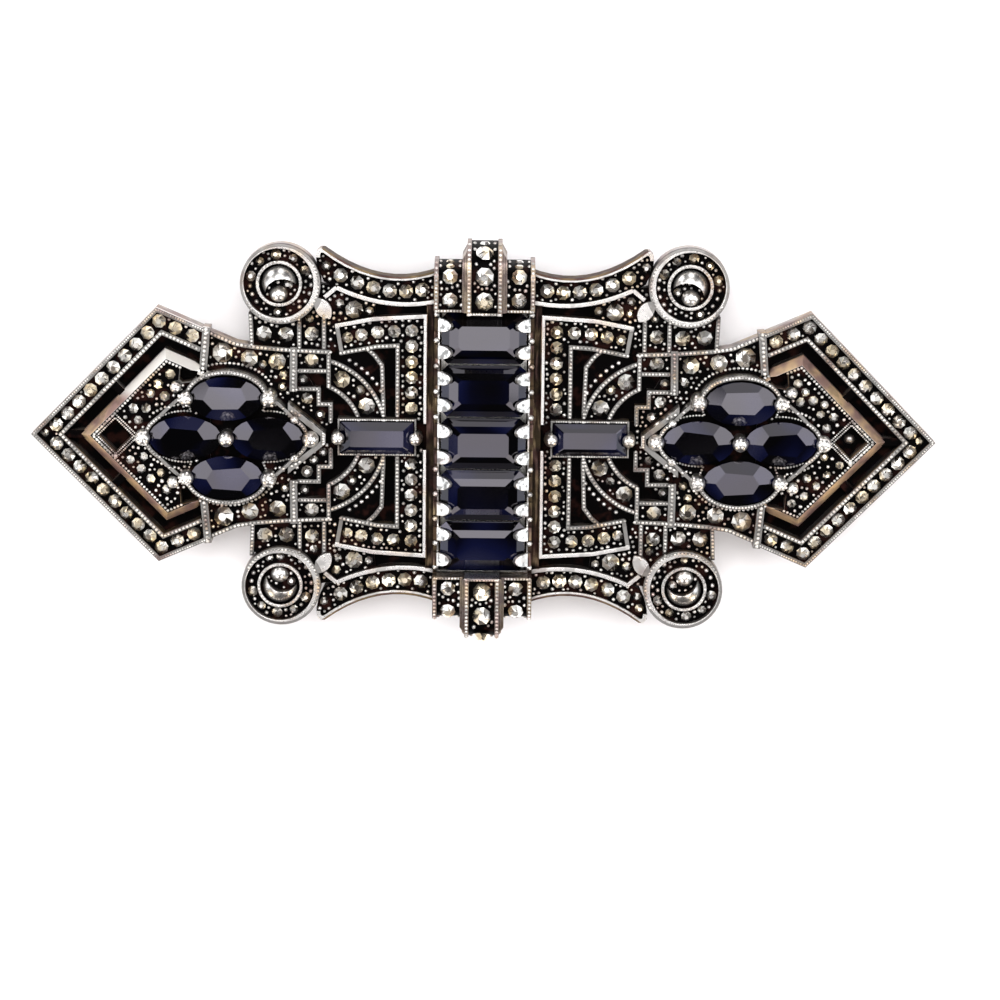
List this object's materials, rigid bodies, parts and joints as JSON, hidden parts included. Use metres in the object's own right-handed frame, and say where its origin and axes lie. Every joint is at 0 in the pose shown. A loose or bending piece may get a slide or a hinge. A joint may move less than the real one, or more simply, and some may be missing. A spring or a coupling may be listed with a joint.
{
  "type": "dress clip",
  "caption": "Pierced oxidised silver dress clip, two pointed shields and scrolls set with dark blue stones and marcasites either side of a stone channel, on a flat spring clip",
  "frame": {"origin": "middle of the footprint, on the plane that the spring clip's leaf rests on", "axes": "+X along the long axis, +Y across it towards the picture's top, +Z out of the face"},
  "size_m": [0.068, 0.03, 0.0093],
  "materials": {
    "silver": "oxidised silver, dark in its recesses, polished on raised edges",
    "clip_metal": "plain satin spring metal",
    "marcasite": "faceted, bright metallic grey",
    "blue_stone": "polished, almost black blue"
  },
  "bodies": {
    "root": {"frame": "silver", "clip": "clip_metal", "marcasites_left": "marcasite", "marcasites_right": "marcasite", "center_stone_1": "blue_stone", "center_stone_2": "blue_stone", "center_stone_3": "blue_stone", "center_stone_4": "blue_stone", "center_stone_5": "blue_stone", "baguette_left": "blue_stone", "baguette_right": "blue_stone", "oval_left_upper": "blue_stone", "oval_left_lower": "blue_stone", "oval_left_inner": "blue_stone", "oval_left_outer": "blue_stone", "oval_right_upper": "blue_stone", "oval_right_lower": "blue_stone", "oval_right_inner": "blue_stone", "oval_right_outer": "blue_stone"}
  },
  "joints": []
}
